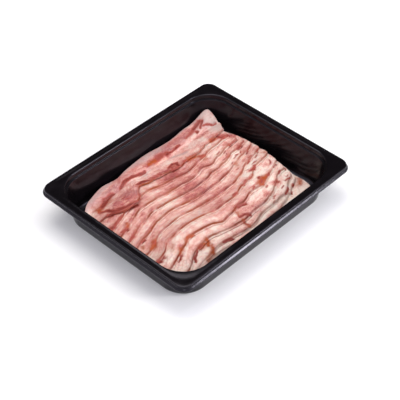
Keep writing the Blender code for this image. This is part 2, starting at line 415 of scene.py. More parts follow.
@dataclass(frozen=True)
class StreakyMeat:
    """Raw cured streaky bacon: pink lean, cream fat, brown cure stains and a moist surface; the dark
    front-edge lines, the glassy back edge and the creases also carry painted shade.
    """

    ramp: tuple[tuple[float, Colour], ...] = (
        (0.00, (0.83, 0.700, 0.61)),
        (0.25, (0.78, 0.510, 0.44)),
        (0.50, (0.68, 0.335, 0.285)),
        (0.75, (0.53, 0.185, 0.160)),
        (1.00, (0.34, 0.065, 0.065)),
    )
    lilac: Colour = (0.60, 0.36, 0.38)
    beige: Colour = (0.68, 0.45, 0.32)
    # Dark front-edge line: the cut edge's own red and gold, darkened as painted shade of its shaded front
    # face.
    cut_gold_and_shade: Colour = (0.26, 0.046, 0.006)
    cut_red_and_shade: Colour = (0.165, 0.015, 0.008)
    brown: Colour = (0.37, 0.062, 0.013)
    # Glassy fat tone, darkened partly as painted shade for the topmost rasher's back edge.
    glassy_and_shade: Colour = (0.40, 0.275, 0.265)
    flush: Colour = (0.40, 0.080, 0.060)
    # Dark marks and creases; in the creases it is painted shade.
    dark: Colour = (0.17, 0.018, 0.012)
    mottle_scale: float = 300.0
    mottle_weight: float = 0.9
    fibre_scale: Triple = (150.0, 1300.0, 1.0)
    fibre_weight: float = 0.45
    fibre_depth: float = 0.00035
    speckle_scale: float = 780.0
    speckle_weight: float = 0.6
    vein_scale: Triple = (70.0, 330.0, 1.0)
    vein_width: float = 0.035
    vein_weight: float = 0.22
    patch_scale: Triple = (150.0, 300.0, 1.0)
    patch_share: float = 0.45
    wrinkle_scale: Triple = (260.0, 700.0, 1.0)
    wrinkle_depth: float = 0.0009
    flush_gain: float = 1.8

    def flesh(self, shader: Shader, lean: Socket, along: Socket, noises: tuple[Socket, ...]) -> Socket:
        """Colour of lean and fat, with mottles, fibres, veins of fat and tinted patches.

        Args:
            shader: The material's nodes.
            lean: Share of lean.
            along: Flat coordinates along the fibres.
            noises: Coarse noise, noise drawn out along the fibres, and speckle noise.

        Returns:
            The colour.
        """
        vein = shader.noise(shader.stretch(along, self.vein_scale), 1.0, 3.0, 0.6)
        off_line = shader.maths("ABSOLUTE", shader.maths("SUBTRACT", vein, 0.5))
        vein_line = shader.span(off_line, 0.0, self.vein_width, self.vein_weight, 0.0)
        total = lean
        for noise, weight in zip(noises, (self.mottle_weight, self.fibre_weight, self.speckle_weight)):
            total = shader.maths("ADD", total, shader.weigh(noise, weight))
        colour = shader.ramp(shader.maths("SUBTRACT", total, vein_line, clamp=True), self.ramp)
        patch = shader.noise(shader.stretch(along, self.patch_scale), 1.0, 2.0)
        colour = shader.mix(shader.span(patch, 0.56, 0.70, 0.0, self.patch_share), colour, self.lilac)
        return shader.mix(shader.span(patch, 0.44, 0.30, 0.0, self.patch_share), colour, self.beige)

    def material(self) -> bpy.types.Material:
        """Build the material."""
        shader = Shader("raw_streaky_bacon")
        inputs = shader.inputs
        coords = shader.add("TexCoord", {})
        along = coords.outputs["UV"]
        place = coords.outputs["Object"]
        (lean, brown, dark), glassy_and_shade = shader.layers("tissue")
        (cut, gold, _), _ = shader.layers("rim")
        mottle = shader.noise(place, self.mottle_scale, 4.0, 0.62)
        fibre = shader.noise(shader.stretch(along, self.fibre_scale), 1.0, 3.0)
        speckle = shader.noise(place, self.speckle_scale, 3.0, 0.6)

        colour = self.flesh(shader, lean, along, (mottle, fibre, speckle))
        # Dark line at each rasher's front lip: partly the cut edge's own red and gold, partly painted shade.
        colour = shader.mix(cut, colour, shader.mix(gold, self.cut_red_and_shade, self.cut_gold_and_shade))
        stain = shader.maths("MULTIPLY", brown, shader.span(mottle, 0.30, 0.62, 0.75, 1.30), clamp=True)
        colour = shader.mix(stain, colour, self.brown)
        # Grey glassy back edge of the topmost rasher, darkened partly as painted shade where it leans up the
        # wall.
        back_veil_and_shade = shader.maths("MULTIPLY", glassy_and_shade, shader.span(mottle, 0.35, 0.65, 1.0, 0.75), clamp=True)
        colour = shader.mix(back_veil_and_shade, colour, self.glassy_and_shade)
        # Dark marks and creases with deep red edges; the creases' darkness is painted shade.
        crease = shader.maths("MULTIPLY", dark, shader.span(fibre, 0.30, 0.60, 1.1, 0.7), clamp=True)
        flush = shader.maths("MULTIPLY", crease, self.flush_gain, clamp=True)
        colour = shader.mix(flush, colour, self.flush)
        colour = shader.mix(shader.maths("MULTIPLY", crease, crease), colour, self.dark)
        shader.feed(inputs["Base Color"], colour)

        shader.feed(inputs["Roughness"], shader.span(mottle, 0.35, 0.68, 0.24, 0.52))
        wrinkle = shader.noise(shader.stretch(along, self.wrinkle_scale), 1.0, 4.0, 0.6)
        coarse = shader.bump(wrinkle, self.wrinkle_depth, 0.45)
        shader.feed(inputs["Normal"], shader.bump(fibre, self.fibre_depth, 0.4, Normal=coarse))
        inputs["Subsurface Weight"].default_value = 0.12
        inputs["Subsurface Radius"].default_value = (1.0, 0.35, 0.25)
        inputs["Subsurface Scale"].default_value = 0.0012
        inputs["Coat Weight"].default_value = 0.10
        inputs["Coat Roughness"].default_value = 0.16
        inputs["IOR"].default_value = 1.42
        inputs["Specular IOR Level"].default_value = 0.36
        return shader.material


# ---- Tray ----


@dataclass
class Tray:
    """The thermoformed tray: floor, tapered wall, ledge, beaded flange and ridged skirt."""

    length: float = 0.228
    width: float = 0.188
    height: float = 0.038
    gauge: float = 0.0008
    flange_radius: float = 0.010
    land: float = 0.0084
    mouth_radius: float = 0.028
    base_radius: float = 0.025
    ledge_depth: float = 0.0055
    ledge_step: float = 0.0015
    ledge_rise: float = 0.0001
    taper: float = 0.0034
    fillet: float = 0.0050
    skirt_drop: float = 0.0050
    skirt_flare: float = 0.0015
    skirt_groove: float = 0.0004
    bead_inset: float = 0.0050
    bead_half: float = 0.0009
    bead_rise: float = 0.00035
    edge_round: float = 0.0010
    corner_steps: int = 18
    fillet_steps: int = 6
    bevel: float = 0.00030
    bevel_steps: int = 3
    bevel_from: float = math.radians(22)
    finish: BlackPlastic = field(default_factory=BlackPlastic)

    @property
    def ledge_inset(self) -> float:
        """Distance from the flange's edge to the foot of the ledge."""
        return self.land + self.ledge_step

    @property
    def foot_inset(self) -> float:
        """Distance from the flange's edge to the foot of the wall."""
        return self.ledge_inset + self.taper

    def ring(self, inset: float, height: float, radius: float) -> list[Vector]:
        """Points of a rounded rectangle, anticlockwise from above.

        Args:
            inset: Distance in from the flange's edge.
            height: Height above the table.
            radius: Corner radius.

        Returns:
            The points, corner by corner.
        """
        half_x = self.length / 2 - inset
        half_y = self.width / 2 - inset
        points = []
        for corner, (sign_x, sign_y) in enumerate(((1, 1), (-1, 1), (-1, -1), (1, -1))):
            for step in range(self.corner_steps + 1):
                angle = (corner + step / self.corner_steps) * math.pi / 2
                x = sign_x * (half_x - radius) + radius * math.cos(angle)
                y = sign_y * (half_y - radius) + radius * math.sin(angle)
                points.append(Vector((x, y, height)))
        return points

    def fillet_rings(self, radius: float) -> Rings:
        """Rings of the round between wall and floor.

        Args:
            radius: Radius of the round on this side of the sheet.

        Returns:
            Inset, height and corner radius of each ring, from the wall down.
        """
        centre_inset = self.foot_inset + self.fillet
        centre_height = self.gauge + self.fillet
        rings = []
        for step in range(self.fillet_steps + 1):
            angle = step / self.fillet_steps * math.pi / 2
            inset = centre_inset - radius * math.cos(angle)
            height = centre_height - radius * math.sin(angle)
            rings.append((inset, height, self.base_radius - (inset - self.foot_inset)))
        return rings

    def wall_rings(self, outward: float) -> Rings:
        """Rings of one side of the wall, from the mouth down to the ledge's foot.

        Args:
            outward: How far this side of the sheet lies outside the inner one.

        Returns:
            Inset, height and corner radius of each ring.
        """
        ledge = self.height - self.ledge_depth - outward * 0.5
        narrow = self.mouth_radius - (self.mouth_radius - self.base_radius) * 0.3
        return [
            (self.land - outward, self.height - self.edge_round, self.mouth_radius),
            (self.land - outward, ledge + self.ledge_rise, self.mouth_radius),
            (self.ledge_inset - outward, ledge, narrow),
        ]

    def flange_rings(self) -> Rings:
        """Rings of the flange and its ridged skirt, from the mouth out and under."""
        low = self.height - self.bead_rise
        under = low - self.gauge
        foot = self.height - self.skirt_drop
        flare = self.flange_radius + self.skirt_flare
        bead_out = self.bead_inset - self.bead_half
        bead_in = self.bead_inset + self.bead_half
        middle = (self.flange_radius + self.mouth_radius) / 2
        return [
            (self.land - self.edge_round * 0.3, self.height - self.edge_round * 0.3, self.mouth_radius),
            (self.land - self.edge_round, self.height, self.mouth_radius),
            (bead_in + self.bead_half, self.height, middle + 0.002),
            (bead_in, low, middle),
            (bead_out, low, middle - 0.003),
            (bead_out - self.bead_half, self.height, middle - 0.005),
            (self.edge_round, self.height, self.flange_radius),
            (self.edge_round * 0.3, self.height - self.edge_round * 0.3, self.flange_radius),
            (0.0, self.height - self.edge_round, self.flange_radius),
            (self.skirt_groove * 0.4, foot + self.skirt_drop * 0.56, self.flange_radius),
            (-self.skirt_groove, foot + self.skirt_drop * 0.45, self.flange_radius),
            (-self.skirt_flare, foot + self.skirt_drop * 0.22, flare),
            (-self.skirt_flare, foot, flare),
            (self.gauge - self.skirt_flare, foot, flare - self.gauge),
            (self.gauge + self.skirt_groove, foot + self.skirt_drop * 0.40, self.flange_radius),
            (self.gauge + self.skirt_groove, under, self.flange_radius - self.gauge),
            (self.land - self.gauge, under, self.mouth_radius),
        ]

    def profile(self) -> Rings:
        """All rings in one closed run: up the inside, over the flange, down the outside."""
        inner = self.wall_rings(0.0) + self.fillet_rings(self.fillet)
        outer = self.wall_rings(self.gauge)[1:] + self.fillet_rings(self.fillet + self.gauge)
        return inner[::-1] + self.flange_rings() + outer

    def shell(self) -> bmesh.types.BMesh:
        """Grow the closed shell ring by ring from the floor's outline."""
        bm = bmesh.new()
        rings = self.profile()
        count = 4 * (self.corner_steps + 1)
        bmesh.ops.create_circle(bm, cap_ends=True, segments=count, radius=0.01)
        bm.verts.ensure_lookup_table()
        corners = sorted(bm.verts, key=lambda vert: math.atan2(vert.co.y, vert.co.x) % (2 * math.pi))
        for vert, point in zip(corners, self.ring(*rings[0])):
            vert.co = point
        loop = [edge for edge in bm.edges if edge.is_boundary]
        for ring in rings[1:]:
            grown = bmesh.ops.extrude_edge_only(bm, edges=loop)["geom"]
            fresh = {part for part in grown if isinstance(part, bmesh.types.BMVert)}
            above = [[edge.other_vert(corner) for edge in corner.link_edges] for corner in corners]
            corners = [next(vert for vert in verts if vert in fresh) for verts in above]
            for vert, point in zip(corners, self.ring(*ring)):
                vert.co = point
            loop = [part for part in grown if isinstance(part, bmesh.types.BMEdge) and part.is_boundary]
        bmesh.ops.contextual_create(bm, geom=loop)
        bmesh.ops.recalc_face_normals(bm, faces=bm.faces)
        return bm

    def build(self) -> bpy.types.Object:
        """Make the tray and round its creases.

        Returns:
            The tray piece.
        """
        bm = self.shell()
        creases = [edge for edge in bm.edges if edge.calc_face_angle(0.0) > self.bevel_from]
        bmesh.ops.bevel(
            bm,
            geom=creases,
            offset=self.bevel,
            offset_type="OFFSET",
            affect="EDGES",
            segments=self.bevel_steps,
            profile=0.5,
            material=-1,
            clamp_overlap=True,
        )
        mesh = bpy.data.meshes.new("black_tray")
        bm.to_mesh(mesh)
        bm.free()
        mesh.shade_smooth()
        piece = link_piece(mesh, self.finish.material(), "tray")
        piece.modifiers.new("even_normals", "WEIGHTED_NORMAL").keep_sharp = True
        return piece


# ---- Rashers ----


class Tissue(Enum):
    """What a mark on a rasher is made of; the value is its channel in the tissue attribute."""

    LEAN = 0
    BROWN = 1
    DARK = 2
    CLEAR = 3
    FAT = 4
    SWELL = 5


@dataclass(frozen=True)
class Stroke:
    """A soft stroke on the bacon from a start to an end, in millimetres seen from above.

    Its half width is where it has faded, and its strength is a height in millimetres if it swells.
    """

    tissue: Tissue
    start_x: float
    start_y: float
    end_x: float
    end_y: float
    half_width: float
    strength: float
    fade: ClassVar[float] = 2.4

    def weight(self, x: Array, y: Array) -> Array:
        """Strength of the stroke at places in millimetres.

        Args:
            x: Places along the tray.
            y: Places across the tray.

        Returns:
            The strength at each place.
        """
        run_x = self.end_x - self.start_x
        run_y = self.end_y - self.start_y
        over_x = x - self.start_x
        over_y = y - self.start_y
        share = np.clip((over_x * run_x + over_y * run_y) / (run_x**2 + run_y**2), 0.0, 1.0)
        away = np.hypot(over_x - share * run_x, over_y - share * run_y)
        return self.strength * hump(away, 0.0, self.half_width, self.fade)


LEAN, BROWN, DARK, CLEAR, FAT, SWELL = Tissue

# Marks by area. A stroke runs between two places and has a half width, all in millimetres.
MARKS: tuple[Stroke, ...] = (
    # Seam along the back of the topmost rasher, from its orange end to its thin dark one.
    Stroke(LEAN, -2, 65, 30, 67, 5, 0.75),
    Stroke(BROWN, 0, 65, 7, 66, 3.2, 1),
    Stroke(DARK, 11, 65.5, 17, 64.5, 2.2, 0.55),
    Stroke(DARK, 15, 68, 24, 65.5, 2.4, 0.45),
    Stroke(DARK, 22, 63.5, 42, 64.5, 1.3, 0.75),
    Stroke(LEAN, 26, 72, 36, 72, 3, 0.45),
    Stroke(LEAN, 40, 70, 72, 72, 3.6, 0.4),
    Stroke(DARK, 54, 67, 68, 71, 2, 0.4),
    Stroke(DARK, 70, 72, 79, 74, 2, 0.8),
    Stroke(DARK, 75, 66.5, 80, 71.5, 1.5, 0.9),
    Stroke(DARK, 67.5, 66, 69, 66, 1.8, 1),
    Stroke(LEAN, 73, 70, 75, 70, 3, 0.45),
    # Its whitish right-hand tip with a fold line.
    Stroke(CLEAR, 84, 70, 88, 52, 8, 0.7),
    Stroke(FAT, 84, 70, 88, 52, 9, 0.8),
    Stroke(DARK, 79, 66, 85, 62.5, 1.1, 0.6),
    Stroke(DARK, 85, 62.5, 91, 61, 1, 0.5),
    # Pale and lilac bands in front of the seam.
    Stroke(FAT, -10, 60, 38, 61, 2.4, 0.3),
    Stroke(LEAN, -76, 63, -40, 62, 3.5, 0.45),
    Stroke(LEAN, -42, 70, 76, 71, 6.5, 0.26),
    Stroke(CLEAR, -80, 62, -25, 67, 6, 0.4),
    Stroke(CLEAR, 28, 67, 78, 67, 7, 0.35),
    # Painted shade along the topmost rasher's back, where it leans up the wall.
    Stroke(DARK, -40, 71, -8, 72, 4, 0.16),
    Stroke(DARK, 28, 73, 48, 73, 3.5, 0.16),
    Stroke(LEAN, 22, 63.5, 78, 63, 2, 0.2),
    Stroke(CLEAR, -10, 60.5, 2, 61, 2.4, 0.45),
    Stroke(CLEAR, 24, 57.5, 38, 52, 1.9, 0.75),
    Stroke(CLEAR, 46, 56, 64, 52, 4, 0.25),
    # Dark red streak along its front edge, with pale fibres and a red loop.
    Stroke(LEAN, -26, 49, 3, 48, 2.6, 0.6),
    Stroke(DARK, -29, 51, -23, 51, 1.8, 0.8),
    Stroke(DARK, -23, 51, -17, 47.5, 1.7, 0.75),
    Stroke(DARK, -12, 50, -11, 46, 1.1, 0.5),
    Stroke(DARK, -8, 50, -7, 46, 1.1, 0.45),
    Stroke(DARK, -4, 49, -3, 45, 1.3, 0.6),
    Stroke(LEAN, 2, 46, 18, 44, 3.6, 0.5),
    Stroke(DARK, 10, 47, 15, 49, 1.5, 0.7),
    Stroke(DARK, 15, 49, 19, 46, 1.5, 0.75),
    Stroke(DARK, 19, 46, 18, 41, 1.5, 0.75),
    Stroke(DARK, 12, 45, 10.5, 41.5, 1.3, 0.6),
    Stroke(DARK, 10.5, 41.5, 15, 40.5, 1.3, 0.6),
    Stroke(BROWN, 14.5, 44, 15.5, 44, 2, 0.45),
    Stroke(CLEAR, -15, 57, -12, 57, 2.6, 0.45),
    # Oval lean lump at its left end, ringed by creases.
    Stroke(LEAN, -64, 43, -44, 44, 11, 0.55),
    Stroke(SWELL, -62, 45, -46, 45, 8, 1.5),
    Stroke(CLEAR, -46, 45, -40, 42, 6, 0.22),
    Stroke(FAT, -68, 49, -64, 51, 3, 0.45),
    Stroke(DARK, -43, 61, -36, 64, 1.8, 0.9),
    Stroke(DARK, -36, 64, -24, 64.5, 1.8, 1),
    Stroke(DARK, -24, 64.5, -11, 62, 1.8, 0.95),
    Stroke(DARK, -55, 46, -50, 46, 1, 0.55),
    Stroke(DARK, -55, 41, -53, 40, 1, 0.35),
    Stroke(DARK, -42, 36, -37, 40, 1.2, 0.45),
    Stroke(LEAN, -60, 65, -40, 66, 2.5, 0.4),
    Stroke(BROWN, -78, 57, -62, 57, 4.2, 0.8),
    Stroke(DARK, -55, 61, -63, 60, 2.2, 0.9),
    Stroke(DARK, -63, 60, -71, 56, 2.6, 1),
    Stroke(BROWN, -71, 56, -77, 54, 2.6, 1),
    Stroke(BROWN, -80, 52, -75, 47, 2.4, 0.9),
    Stroke(DARK, -79, 51, -74, 46, 1.4, 0.65),
    Stroke(DARK, -74, 46, -71, 40, 2.2, 0.85),
    Stroke(DARK, -71, 40, -63, 34.5, 2.8, 1),
    Stroke(DARK, -63, 34, -50, 31.5, 2, 0.85),
    Stroke(FAT, -75, 41, -73, 39, 1.5, 0.8),
    # Around the front of its right end, and the rasher below it.
    Stroke(BROWN, 31, 43, 42, 38, 2.8, 0.85),
    Stroke(BROWN, 41, 37, 46, 35, 2.4, 1),
    Stroke(DARK, 42, 36, 46, 35, 1.6, 0.6),
    Stroke(DARK, 28, 43, 30, 41, 1.2, 0.45),
    Stroke(BROWN, 67, 45, 72, 44, 2.4, 1),
    Stroke(DARK, 69, 45, 71, 44, 1.4, 0.35),
    Stroke(LEAN, 76, 43, 88, 36, 3.6, 0.85),
    Stroke(DARK, 77, 45, 78, 38, 1.6, 0.6),
    Stroke(DARK, 80, 40, 84, 37, 1.5, 0.4),
    Stroke(DARK, -78, 41, -74, 37.5, 1.5, 0.6),
    Stroke(DARK, -69, 31, -82, 27.5, 1.4, 0.55),
    Stroke(DARK, -88, 27, -85, 26, 1.6, 0.8),
    # Ticks and patches towards the loose right ends, row by row.
    Stroke(DARK, 75, 27, 87, 28, 1.3, 0.5),
    Stroke(DARK, 78, 18, 84, 18.5, 1.4, 0.7),
    Stroke(DARK, 62, 24, 66, 25, 0.9, 0.35),
    Stroke(DARK, 74, 12, 78, 13.5, 1, 0.4),
    Stroke(DARK, 80, 8, 83, 9, 1, 0.5),
    Stroke(DARK, 88, 1, 90, 3, 1, 0.45),
    Stroke(DARK, 76, 2, 79, 2, 1.2, 0.4),
    Stroke(DARK, 81, -3, 84, -2, 1, 0.4),
    Stroke(DARK, 70, -2, 73, -1, 1, 0.65),
    Stroke(LEAN, 69, 3, 71, 3, 2.2, 0.45),
    Stroke(BROWN, 75, -9, 77, -8, 1.8, 0.4),
    Stroke(LEAN, 61, -13, 66, -13, 2.6, 1),
    Stroke(DARK, 62, -13.5, 65, -13.5, 1.7, 0.45),
    Stroke(DARK, 68, -12.5, 71, -11, 1.3, 0.6),
    Stroke(DARK, 43, -21, 46, -20, 1.3, 0.5),
    Stroke(DARK, 40, -22, 42, -22, 1, 0.4),
    Stroke(DARK, 50, -22, 52, -21, 1, 0.35),
    Stroke(BROWN, 54, -33.5, 60, -30, 4.4, 1),
    Stroke(DARK, 55, -33, 57, -31, 1.4, 0.5),
    Stroke(LEAN, 55, -33, 58, -31, 3, 0.8),
    Stroke(DARK, 57, -27, 59, -26, 1.5, 0.65),
    Stroke(BROWN, 63, -31, 68, -30, 1.8, 0.8),
    Stroke(DARK, 66, -31, 71, -29, 1, 0.5),
    Stroke(DARK, 42, -34, 45, -33, 1.2, 0.45),
    Stroke(DARK, 55, -40, 57, -39, 1.2, 0.45),
    Stroke(LEAN, 64, -43, 70, -41, 3, 0.6),
    Stroke(DARK, 68, -41, 71, -41, 1.3, 0.45),
    Stroke(DARK, 80, -35, 82, -34, 1.1, 0.6),
    Stroke(DARK, 82, -25.5, 86, -25, 1, 0.5),
    Stroke(DARK, 88, -34, 90, -33, 1, 0.5),
    Stroke(DARK, 77, -45.5, 83, -45, 1, 0.5),
    Stroke(DARK, 64, -55.5, 72, -53.5, 1.1, 0.55),
    Stroke(BROWN, 88, -55, 94, -50, 3.4, 0.75),
    Stroke(DARK, 80, -53.5, 82, -52.5, 1.2, 0.6),
    Stroke(DARK, 51, -52, 54, -51, 1, 0.4),
    Stroke(DARK, 22, -26, 29, -26, 1.4, 0.5),
    Stroke(FAT, 58, -58, 92, -46, 8, 0.6),
    Stroke(FAT, 84, -42, 92, -20, 6, 0.45),
    Stroke(FAT, 26, -60, 50, -58, 6, 0.5),
    Stroke(FAT, 22, -28, 40, -27, 7, 0.3),
    Stroke(FAT, 45, 16, 58, 26, 7, 0.4),
    # Folded lump low in the middle.
    Stroke(LEAN, 14, -46, 24, -47, 7, 0.4),
    Stroke(SWELL, 13, -48, 20, -50, 6, 1),
    Stroke(DARK, 15, -40, 24, -41, 1.4, 0.6),
    Stroke(DARK, 7, -50, 12, -51, 1.4, 0.7),
    Stroke(DARK, 12, -51, 16, -54.5, 1.4, 0.7),
    Stroke(BROWN, 9, -44, 7, -50, 2, 0.7),
    Stroke(BROWN, 5, -55, 6, -61, 2.2, 0.9),
    Stroke(DARK, 5, -56, 7, -60, 1, 0.45),
    # Left ends, from the back to the near corner.
    Stroke(BROWN, -73, 21, -78, 15, 1.7, 0.75),
    Stroke(DARK, -78, 15, -85, 15, 1.1, 0.6),
    Stroke(DARK, -79, 4, -86, 3.5, 1.2, 0.6),
    Stroke(DARK, -74, -6, -81, -6, 1.2, 0.55),
    Stroke(BROWN, -71, -14, -77, -18.5, 3.6, 0.85),
    Stroke(DARK, -71, -14, -73, -15, 1.7, 0.4),
    Stroke(BROWN, -83, -10, -85, -13, 1.6, 0.8),
    Stroke(FAT, -92, -32, -82, -42, 7, 0.6),
    Stroke(FAT, -76, -44, -62, -50, 6, 0.45),
    Stroke(FAT, -84, -57, -34, -62, 7, 0.5),
    Stroke(FAT, -86, -28, -76, -32, 5, 0.45),
    Stroke(DARK, -88, -38, -86, -37, 2.2, 0.65),
    Stroke(DARK, -82, -38, -80, -37, 1.8, 0.45),
    Stroke(BROWN, -65, -31, -71, -37, 2.4, 0.45),
    Stroke(LEAN, -61, -38, -62, -40, 2.4, 0.8),
    Stroke(BROWN, -63, -40, -67, -44, 2.4, 0.65),
    Stroke(DARK, -68, -46, -71, -48, 1.3, 0.6),
    Stroke(DARK, -75, -50, -72, -49, 1.2, 0.4),
    Stroke(BROWN, -43, -36, -50, -35, 1.8, 0.95),
    Stroke(BROWN, -52, -35, -54, -38, 2.4, 0.45),
    Stroke(DARK, -52, -50, -63, -58, 0.9, 0.65),
    Stroke(BROWN, -37, -47, -39, -52, 2.6, 1),
    Stroke(BROWN, -42, -48.5, -48, -50, 2.4, 0.95),
    Stroke(DARK, -44, -49, -48, -50, 1.2, 0.4),
    Stroke(BROWN, -36, -54, -42, -60, 2.2, 0.8),
    Stroke(BROWN, -42, -60, -52, -63, 2, 0.75),
    Stroke(DARK, -25, -58, -15, -61, 1.3, 0.6),
)

# Share of lean along a rasher: place along the tray in millimetres, and share.
TOP_LEAN = (
    (-90, 0.36), (-60, 0.52), (-35, 0.50), (-25, 0.44), (20, 0.52), (45, 0.50), (60, 0.40), (75, 0.46),
)
LOWER_LEAN = (
    (-90, 0.58), (-80, 0.58), (-67, 0.54), (-52, 0.48), (-22, 0.44), (-14, 0.58), (-6, 0.78), (10, 0.80),
    (22, 0.66), (37, 0.62), (50, 0.46), (62, 0.26), (72, 0.28), (80, 0.46), (92, 0.44),
)


# Width of the topmost rasher's glassy back edge, darkened partly as painted shade, and share of gold in the
# cut edges, along the tray.
VEIL_WIDTH = ((-75, 8), (-55, 7), (-42, 4), (-18, 4), (-4, 9), (24, 9), (36, 2.5), (72, 2.5), (80, 12))
CUT_GOLD = ((-60, 0.6), (-32, 0.7), (-16, 1.0), (-2, 0.35), (40, 0.35), (55, 0.7))


@dataclass(frozen=True)
class Pile:
    """How the rashers lie: their cut edges, ends and heights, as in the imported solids.

    Each bend of a front edge has its place along the tray, its height across it and its spread.
    """

    top_front: float = 0.0430
    exposures: tuple[float, ...] = (
        0.0120, 0.0117, 0.0108, 0.0111, 0.0122, 0.0151, 0.0145, 0.0125, 0.0083, 0.0059, 0.0061,
    )
    bends: tuple[tuple[Triple, ...], ...] = (
        ((-0.028, 0.0050, 0.006), (-0.014, 0.0020, 0.008), (0.017, -0.0040, 0.009), (0.045, -0.0025, 0.009)),
        ((-0.030, 0.0026, 0.014), (0.020, -0.0030, 0.012), (0.060, 0.0020, 0.015)),
        ((-0.057, 0.0013, 0.010), (0.031, 0.0026, 0.006), (0.043, -0.0022, 0.006), (0.072, 0.0020, 0.009)),
        ((-0.070, 0.0015, 0.012), (0.034, 0.0026, 0.006), (0.070, 0.0022, 0.007)),
        ((-0.080, 0.0016, 0.010), (0.073, 0.0025, 0.007)),
        ((-0.062, 0.0022, 0.008), (0.038, -0.0018, 0.008), (0.068, 0.0022, 0.009)),
        ((-0.065, 0.0040, 0.009), (-0.007, -0.0020, 0.007), (0.038, 0.0035, 0.014), (0.070, 0.0058, 0.011)),
        ((-0.045, 0.0020, 0.009), (-0.010, -0.0030, 0.006), (0.015, 0.0035, 0.009), (0.038, 0.0050, 0.013)),
        ((-0.075, -0.0035, 0.010), (-0.033, 0.0020, 0.010), (0.025, 0.0022, 0.012), (0.076, 0.0038, 0.011)),
        ((-0.048, -0.0042, 0.012), (0.030, 0.0045, 0.014), (0.068, -0.0030, 0.008)),
        ((0.030, 0.0035, 0.012),),
        (),
    )
    slice_width: float = 0.038
    thickness: float = 0.0025
    clearance: float = 0.0004
    wall_margin: float = 0.0045
    left_station: float = -0.097
    right_edge: float = 0.0945
    right_sway: float = 0.0025
    sway_crest: float = 4
    sway_rashers: float = 8.5
    upper_draw: float = 0.0055
    draw_rashers: float = 2.6
    end_round: float = 0.0040
    crown_at: float = -0.037
    crown_spread: float = 0.028
    crown_first: float = 0.0030
    crown_growth: float = 0.0005
    fall_from: float = -0.050
    fall_span: float = 0.038
    fall_depth: float = 0.0090
    fall_power: float = 1.3
    sweep_from: float = 0.020
    sweep_span: float = 0.068
    sweep_first: float = 0.0030
    sweep_growth: float = 0.0024
    sweep_most: float = 0.0210
    sweep_lowest: float = 0.0080
    sweep_power: float = 1.5
    lobe_at: float = -0.056
    lobe_spread: float = 0.017
    lobe_depth: float = 0.0120
    lobe_fall: float = 0.2
    back_edge: float = 0.0782
    back_wave: float = 0.0012
    back_wave_length: float = 0.060
    back_wave_start: float = -0.010
    back_fall: float = 0.0110
    back_fall_from: float = -0.020
    back_fall_span: float = 0.070
    back_dip: float = 0.0030
    back_dip_at: float = -0.038
    back_dip_spread: float = 0.011
    back_lift: float = 0.0100
    lift_from: float = 0.048
    lift_span: float = 0.018
    tip_lift: float = 0.0105
    tip_from: tuple[float, float] = (0.068, 0.052)
    tip_span: tuple[float, float] = (0.026, 0.024)
    tip_reach: float = 0.0067
    tip_share: float = 0.45
    tip_inset: float = 0.0118
    tip_margin: float = 0.0014
    blend_reach: float = 0.010
    blend_steps: int = 7
    tray: Tray = field(default_factory=Tray)

    @property
    def count(self) -> int:
        """Number of rashers."""
        return len(self.bends)

    def reach(self, offset: Array, half: float, side_half: float, radius: float) -> Array:
        """Half size of a rounded rectangle along one axis, at an offset along the other.

        Args:
            offset: Place along the other axis.
            half: Half size along this axis.
            side_half: Half size along the other axis.
            radius: Corner radius.

        Returns:
            The half size at each place.
        """
        over = np.maximum(np.abs(offset) - (side_half - radius), 0.0)
        return half - radius + np.sqrt(np.maximum(radius**2 - over**2, 0.0))

    def floor_reach(self, row: Array) -> Array:
        """Half length of the tray's floor at a place across it."""
        tray = self.tray
        half_x = tray.length / 2 - tray.foot_inset
        half_y = tray.width / 2 - tray.foot_inset
        return self.reach(row, half_x, half_y, tray.base_radius)

    def cut_line(self, index: int, x: Array) -> Array:
        """Y of a rasher's front edge, without its bends and the tray's front wall.

        Args:
            index: Rasher, counted from the topmost.
            x: Places along it.

        Returns:
            The edge's Y at each place.
        """
        middle = self.top_front - sum(self.exposures[:index])
        crown_height = self.crown_first + self.crown_growth * index
        crown = crown_height * hump(x, self.crown_at, self.crown_spread)
        fall = self.fall_depth * past(self.fall_from - x, self.fall_span, self.fall_power)
        most = min(self.sweep_first + self.sweep_growth * index, self.sweep_most)
        if index == self.count - 1:
            most = self.sweep_lowest
        sweep = most * past(x - self.sweep_from, self.sweep_span, self.sweep_power)
        if index == 0:
            crown = -self.lobe_depth * hump(x, self.lobe_at, self.lobe_spread, 4)
            fall = fall * self.lobe_fall
        return middle + crown - fall + sweep

    def front(self, index: int, x: Array) -> Array:
        """Y of a rasher's bent front edge, kept off the tray's front wall.

        Args:
            index: Rasher, counted from the topmost.
            x: Places along it.

        Returns:
            The edge's Y at each place.
        """
        tray = self.tray
        half_y = tray.width / 2 - tray.foot_inset
        wall = self.reach(x, half_y, tray.length / 2 - tray.foot_inset, tray.base_radius)
        bent = sum(rise * hump(x, at, spread) for at, rise, spread in self.bends[index])
        return np.maximum(self.cut_line(index, x) + bent, self.wall_margin - wall)

    def back(self, index: int, x: Array) -> Array:
        """Y of a rasher's back edge.

        Args:
            index: Rasher, counted from the topmost.
            x: Places along it.

        Returns:
            The edge's Y at each place.
        """
        if index > 0:
            return self.cut_line(index, x) + self.slice_width
        tray = self.tray
        wave = self.back_wave * np.sin((x - self.back_wave_start) / self.back_wave_length * 2 * math.pi)
        fall = self.back_fall * past(self.back_fall_from - x, self.back_fall_span, 1.5)
        half_y = tray.width / 2 - self.tip_inset
        half_x = tray.length / 2 - self.tip_inset
        dip = self.back_dip * hump(x, self.back_dip_at, self.back_dip_spread)
        wall = self.reach(x, half_y, half_x, tray.mouth_radius - self.tip_inset + tray.land)
        return np.minimum(self.back_edge + wave - fall - dip, wall - self.tip_margin)

